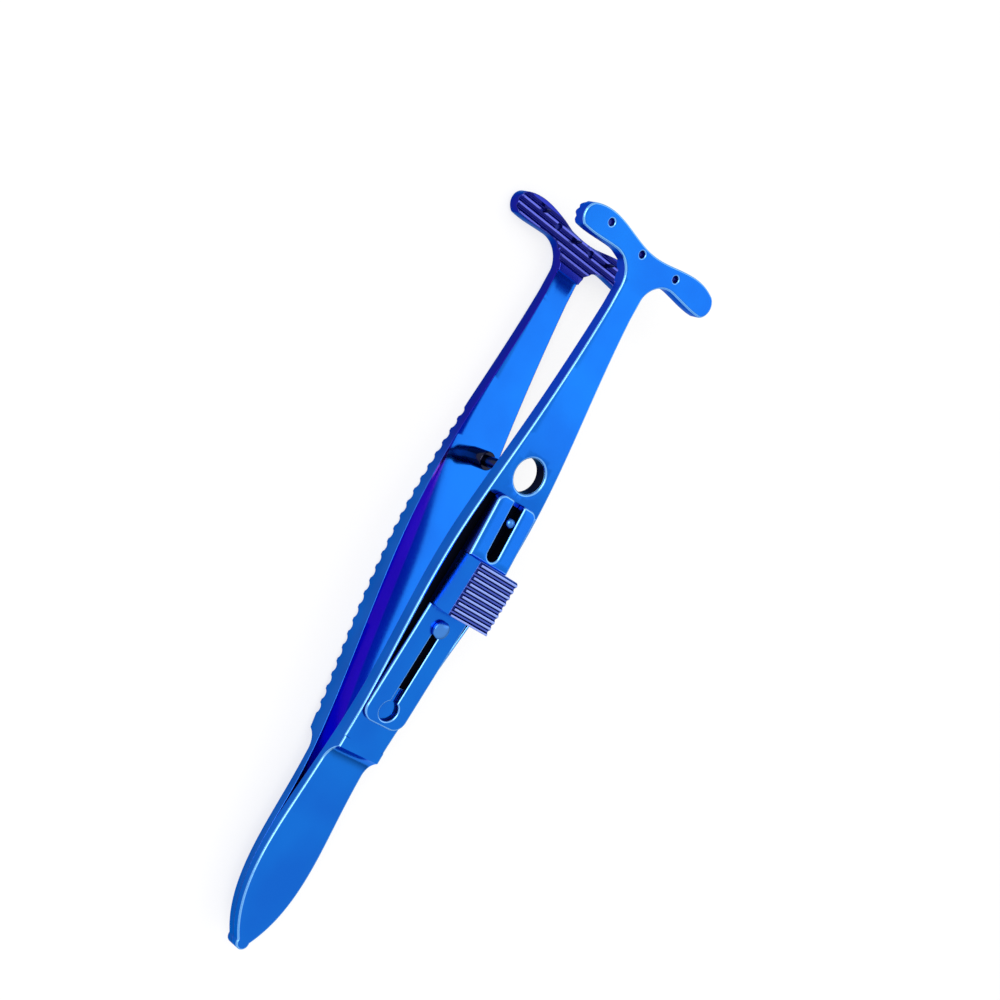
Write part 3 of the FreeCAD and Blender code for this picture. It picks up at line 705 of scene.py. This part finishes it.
HALF_FOOT, HALF_NECK, HALF_CREST = 0.333, 0.135, 0.08
RIB_NECK = RIB_HEIGHT - 0.03
BAR_HALF = SLIDE_HALF - 0.02
rib = bar("rib", [(-HALF_FOOT, 0.0), (-HALF_NECK, RIB_NECK), (HALF_NECK, RIB_NECK), (HALF_FOOT, 0.0)],
          BAR_HALF)
crest = bar("crest", [(-HALF_NECK, RIB_NECK), (-HALF_CREST, RIB_HEIGHT), (HALF_CREST, RIB_HEIGHT),
                      (HALF_NECK, RIB_NECK)], BAR_HALF)
rear_rib = bar("rear_rib", [(0.02, 0.0), (0.02, RIB_NECK), (0.26, RIB_NECK), (0.46, 0.0)], BAR_HALF)
rear_crest = bar("rear_crest", [(0.02, RIB_NECK), (0.06, RIB_HEIGHT), (0.21, RIB_HEIGHT), (0.26, RIB_NECK)],
                 BAR_HALF)


def repeat_on_points(name, sockets):
    """A node tree with the named inputs that sets one object on every point of the mesh."""
    tree = bpy.data.node_groups.new(name, "GeometryNodeTree")
    tree.interface.new_socket("Geometry", in_out="INPUT", socket_type="NodeSocketGeometry")
    for label, kind in sockets:
        tree.interface.new_socket(label, in_out="INPUT", socket_type=kind)
    tree.interface.new_socket("Geometry", in_out="OUTPUT", socket_type="NodeSocketGeometry")
    given = add(tree, "NodeGroupInput")
    return tree, given


def finish_tree(tree, given, points, turn=None):
    """Instance the given object, make it real and give it its material."""
    info = add(tree, "GeometryNodeObjectInfo", [("Object", given.outputs["Object"])])
    links = [("Points", points), ("Instance", info.outputs["Geometry"])]
    if turn is not None:
        links.append(("Rotation", turn))
    spread = add(tree, "GeometryNodeInstanceOnPoints", links)
    real = add(tree, "GeometryNodeRealizeInstances", [("Geometry", spread.outputs["Instances"])])
    dressed = add(tree, "GeometryNodeSetMaterial", [
        ("Geometry", real.outputs["Geometry"]), ("Material", given.outputs["Material"])])
    add(tree, "NodeGroupOutput", [("Geometry", dressed.outputs["Geometry"])])


def run_tree(name, mesh, tree, values, place):
    """The tree's result as a plain mesh piece with its place in its mesh."""
    holder = bpy.data.objects.new(name + "_holder", mesh)
    bpy.context.scene.collection.objects.link(holder)
    nodes = holder.modifiers.new("repeat", "NODES")
    nodes.node_group = tree
    for item in tree.interface.items_tree:
        if item.in_out == "INPUT" and item.name in values:
            nodes[item.identifier] = values[item.name]
    shown = holder.evaluated_get(bpy.context.evaluated_depsgraph_get())
    result = bpy.data.meshes.new_from_object(shown)
    holder.modifiers.remove(nodes)
    bpy.data.objects.remove(holder)
    result.transform(place)
    result.name = name
    piece = bpy.data.objects.new(name, result)
    bpy.context.scene.collection.objects.link(piece)
    print("%-22s %6d faces" % (name, len(result.polygons)))
    return piece


rib_tree, rib_given = repeat_on_points("ribs_in_a_row", [
    ("Count", "NodeSocketInt"), ("Pitch", "NodeSocketFloat"), ("Start", "NodeSocketFloat"),
    ("Height", "NodeSocketFloat"), ("Object", "NodeSocketObject"), ("Material", "NodeSocketMaterial")])
rib_start = add(rib_tree, "ShaderNodeCombineXYZ", [
    ("X", rib_given.outputs["Start"]), ("Z", rib_given.outputs["Height"])])
rib_step = add(rib_tree, "ShaderNodeCombineXYZ", [("X", rib_given.outputs["Pitch"])])
rib_line = add(rib_tree, "GeometryNodeMeshLine", [
    ("Count", rib_given.outputs["Count"]), ("Start Location", rib_start.outputs["Vector"]),
    ("Offset", rib_step.outputs["Vector"])])
finish_tree(rib_tree, rib_given, rib_line.outputs["Mesh"])
rib_sizes = {"Count": RIB_COUNT, "Pitch": RIB_PITCH, "Start": block_start + FIRST_GROOVE + RIB_PITCH / 2,
             "Height": BLOCK_HEIGHT - RIB_HEIGHT}
rear_sizes = dict(rib_sizes, Count=1, Start=block_start)
block_bars = [run_tree(name, bpy.data.meshes.new("empty"), rib_tree,
                       dict(sizes, Object=shape, Material=finish), ON_SLIDE)
              for name, sizes, shape, finish in (
                  ("thumb_block_ribs", rib_sizes, rib, side_painted_shade),
                  ("thumb_block_crests", rib_sizes, crest, crest_painted_highlight),
                  ("thumb_block_rear_rib", rear_sizes, rear_rib, side_painted_shade),
                  ("thumb_block_rear_crest", rear_sizes, rear_crest, crest_painted_highlight))]

# %% [markdown]
# ## Turned pieces
# The stud, the two guide pins and the fine jaw pins come off a lathe, so each is a profile of
# radius and height, spun about its own axis. The six jaw pins are one pin, set by Geometry Nodes.

# %% Spin a profile
def turned(profile, steps=40):
    """Closed lathe body from (radius, height) pairs, first and last on the axis."""
    verts = [(0, 0, profile[0][1])]
    for radius, height in profile[1:-1]:
        for i in range(steps):
            angle = 2 * math.pi * i / steps
            verts.append((radius * math.cos(angle), radius * math.sin(angle), height))
    verts.append((0, 0, profile[-1][1]))
    faces, last = [], len(verts) - 1
    rings = len(profile) - 2
    for i in range(steps):
        j = (i + 1) % steps
        faces.append((0, 1 + j, 1 + i))
        for k in range(rings - 1):
            a = 1 + k * steps
            faces.append((a + i, a + j, a + steps + j, a + steps + i))
        top = 1 + (rings - 1) * steps
        faces.append((top + i, top + j, last))
    return verts, faces, [0] * len(faces)


def dome(radius, top, rise, steps=6):
    """Points of a rounded top, from its rim to the axis."""
    points = []
    for i in range(steps + 1):
        angle = math.pi / 2 * i / steps
        points.append((radius * math.cos(angle), top - rise + rise * math.sin(angle)))
    return points[:-1] + [(0, top)]


# %% Stud and guide pins
stud_profile = [(0, 0.1), (1.25, 0.1), (1.25, 3.14), (1.21, 3.24), (1.11, 3.3), (0.75, 3.3), (0.75, 7.08),
                (1.0, 7.08), (1.2, 7.12), (1.25, 7.18), (1.25, 7.5), (1.2, 7.62), (1.02, 7.82), (0.9, 7.85),
                (0, 7.85)]
stud = make_piece("lock_stud_turned", turned([(r, -5.15 - 0.1 + z) for r, z in stud_profile]),
                  LAID @ Matrix.Translation((LOCK_X, 0, 0)), stud_painted_shade)
head_pin = make_piece("guide_pin_turned", turned(
    [(0, -1.2), (0.45, -1.2), (0.45, 0.63), (1.05, 0.63), (1.15, 0.7)] + dome(1.15, 1.23, 0.26)),
    ON_SLIDE @ Matrix.Translation((pin_x, 0, 0)), pin_finish)
steer_pin = make_piece("fork_pin_turned", turned([(0, -1.4), (0.625, -1.4)] + dome(0.625, 1.7, 0.4)),
                       ON_SLIDE @ Matrix.Translation((along_slide(61.1), 0, 0)), pin_finish)

# %% Jaw pins
pin_shape = turned([(0, 1.15), (0.275, 1.15), (0.275, -0.6), (0.24, -0.72), (0.07, -1.37), (0, -1.4)], 20)
pin_mesh = bpy.data.meshes.new("jaw_pin")
pin_mesh.from_pydata(pin_shape[0], [], [face[::-1] for face in pin_shape[1]])
pin_mesh.shade_smooth()
pin_mesh.set_sharp_from_angle(angle=math.radians(35))
pin = bpy.data.objects.new("jaw_pin", pin_mesh)
pin_tree, pin_given = repeat_on_points("pins_on_points", [
    ("Tilt", "NodeSocketVector"), ("Object", "NodeSocketObject"), ("Material", "NodeSocketMaterial")])
finish_tree(pin_tree, pin_given, pin_given.outputs["Geometry"], pin_given.outputs["Tilt"])
pin_points = [(x, y, jaw_inner(x)) for x, y in (on_jaw(place) for place in PIN_PLACES)]


def jaw_pins(name, place):
    spots = bpy.data.meshes.new(name + "_spots")
    spots.from_pydata(pin_points, [], [])
    return run_tree(name, spots, pin_tree, {
        "Tilt": (0.0, -JAW_ANGLE, 0.0), "Object": pin, "Material": needle_finish}, place)


front_pins = jaw_pins("front_jaw_pins", LAID)
rear_pins = jaw_pins("rear_jaw_pins", LAID @ OVER)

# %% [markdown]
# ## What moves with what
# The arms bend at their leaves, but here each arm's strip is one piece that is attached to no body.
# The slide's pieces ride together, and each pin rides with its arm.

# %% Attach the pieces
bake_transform(front_arm)
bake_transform(rear_arm)
for piece, body, slot, nodes in (
        (front_arm, None, "arms", ("front_arm", "front_spring_leaf")),
        (rear_arm, None, "arms", ("rear_arm", "rear_spring_leaf")),
        (keyhole_plate, "slide", "slide", ("keyhole_plate",)),
        (lock_fork, "slide", "slide", ("lock_fork",)),
        (block_body, "slide", "slide", ("thumb_block",)),
        *[(piece, "slide", "slide", ("thumb_block",)) for piece in block_bars],
        (stud, "rear", "pins", ("lock_stud",)),
        (head_pin, "front", "pins", ("guide_pin",)),
        (steer_pin, "front", "pins", ("fork_pin",)),
        (front_pins, "front", "pins", ("front_jaw_pin_1", "front_jaw_pin_2", "front_jaw_pin_3")),
        (rear_pins, "rear", "pins", ("rear_jaw_pin_1", "rear_jaw_pin_2", "rear_jaw_pin_3"))):
    if body:
        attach(piece, body)
    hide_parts(*nodes)

# %% [markdown]
# ## Studio
# The picture was taken on white, under soft light from the right, with one brighter lamp near the
# camera that draws the pale lines along the left rims. Metal shows what surrounds it, so the
# surroundings matter as much as the lamps: a white sky, darker near the horizon.

# %% Floor
floor_mesh = bpy.data.meshes.new("floor")
floor_mesh.from_pydata([(-3, -3, 0), (3, -3, 0), (3, 3, 0), (-3, 3, 0)], [], [(0, 1, 2, 3)])
floor = bpy.data.objects.new("floor", floor_mesh)
bpy.context.scene.collection.objects.link(floor)
paper = bpy.data.materials.new("white_paper")
paper.use_nodes = True
tree = paper.node_tree
tree.nodes.clear()
matt = add(tree, "ShaderNodeBsdfDiffuse", in_Color=(0.9, 0.9, 0.9, 1.0))
glow = add(tree, "ShaderNodeEmission", in_Color=(1.0, 1.0, 1.0, 1.0), in_Strength=1.0)
path = add(tree, "ShaderNodeLightPath")
seen = add(tree, "ShaderNodeMath", [(0, path.outputs["Is Camera Ray"]), (1, path.outputs["Is Glossy Ray"])],
           operation="MAXIMUM")
share = add(tree, "ShaderNodeMath", [(0, seen.outputs[0])], operation="MULTIPLY")
share.inputs[1].default_value = 0.72
both = add(tree, "ShaderNodeMixShader", [
    (0, share.outputs[0]), (1, matt.outputs["BSDF"]), (2, glow.outputs["Emission"])])
add(tree, "ShaderNodeOutputMaterial", [("Surface", both.outputs["Shader"])])
floor_mesh.materials.append(paper)

# %% Sky
world = bpy.data.worlds.new("studio")
bpy.context.scene.world = world
world.use_nodes = True
tree = world.node_tree
tree.nodes.clear()
way = add(tree, "ShaderNodeTexCoord")
split = add(tree, "ShaderNodeSeparateXYZ", [("Vector", way.outputs["Generated"])])
shade = add(tree, "ShaderNodeValToRGB", [("Fac", split.outputs["Z"])])
shade.color_ramp.elements[0].position = 0.0
shade.color_ramp.elements[0].color = (0.25, 0.25, 0.27, 1)
shade.color_ramp.elements[1].position = 0.62
shade.color_ramp.elements[1].color = (1.0, 1.0, 1.0, 1)
sky = add(tree, "ShaderNodeBackground", [("Color", shade.outputs["Color"])], in_Strength=0.95)
add(tree, "ShaderNodeOutputWorld", [("Surface", sky.outputs["Background"])])

# %% Lamps
def softbox(name, place, size, power, target=(0.0, 0.0, 0.01)):
    lamp = bpy.data.lights.new(name, "AREA")
    lamp.shape = "SQUARE"
    lamp.size = size
    lamp.energy = power
    box = bpy.data.objects.new(name, lamp)
    box.location = place
    box.rotation_euler = (Vector(target) - Vector(place)).to_track_quat("-Z", "Y").to_euler()
    bpy.context.scene.collection.objects.link(box)
    return box


softbox("lamp_right", (0.30, -0.55, 0.55), 0.50, 0.45)
softbox("lamp_by_camera", (0.0, 0.28, 0.42), 0.34, 1.4)

# %% [markdown]
# ## Camera
# The camera's place was found from the photograph: it looks down by about half a right angle, with
# the jaws towards the top right. Its axes are given on the instrument and laid on the table with it.

# %% Camera
EYE = (42.43, 136.26, 179.29)
RIGHT = Vector((0.47522, -0.66638, 0.57454))
DOWN = Vector((-0.87491, -0.42708, 0.22831))
turn = Matrix.Rotation(-REST_SLOPE, 3, "Y")
axes = Matrix((turn @ RIGHT, turn @ -DOWN, turn @ -RIGHT.cross(DOWN))).transposed().to_4x4()
lens = bpy.data.cameras.new("camera")
lens.sensor_width = 36.0
lens.lens = 36.0 * 1804.17 / 1000
lens.clip_start = 0.01
camera = bpy.data.objects.new("camera", lens)
camera.matrix_world = Matrix.Translation(LAID @ Vector(EYE)) @ axes
bpy.context.scene.collection.objects.link(camera)
bpy.context.scene.camera = camera
bpy.context.scene.view_settings.view_transform = "Standard"
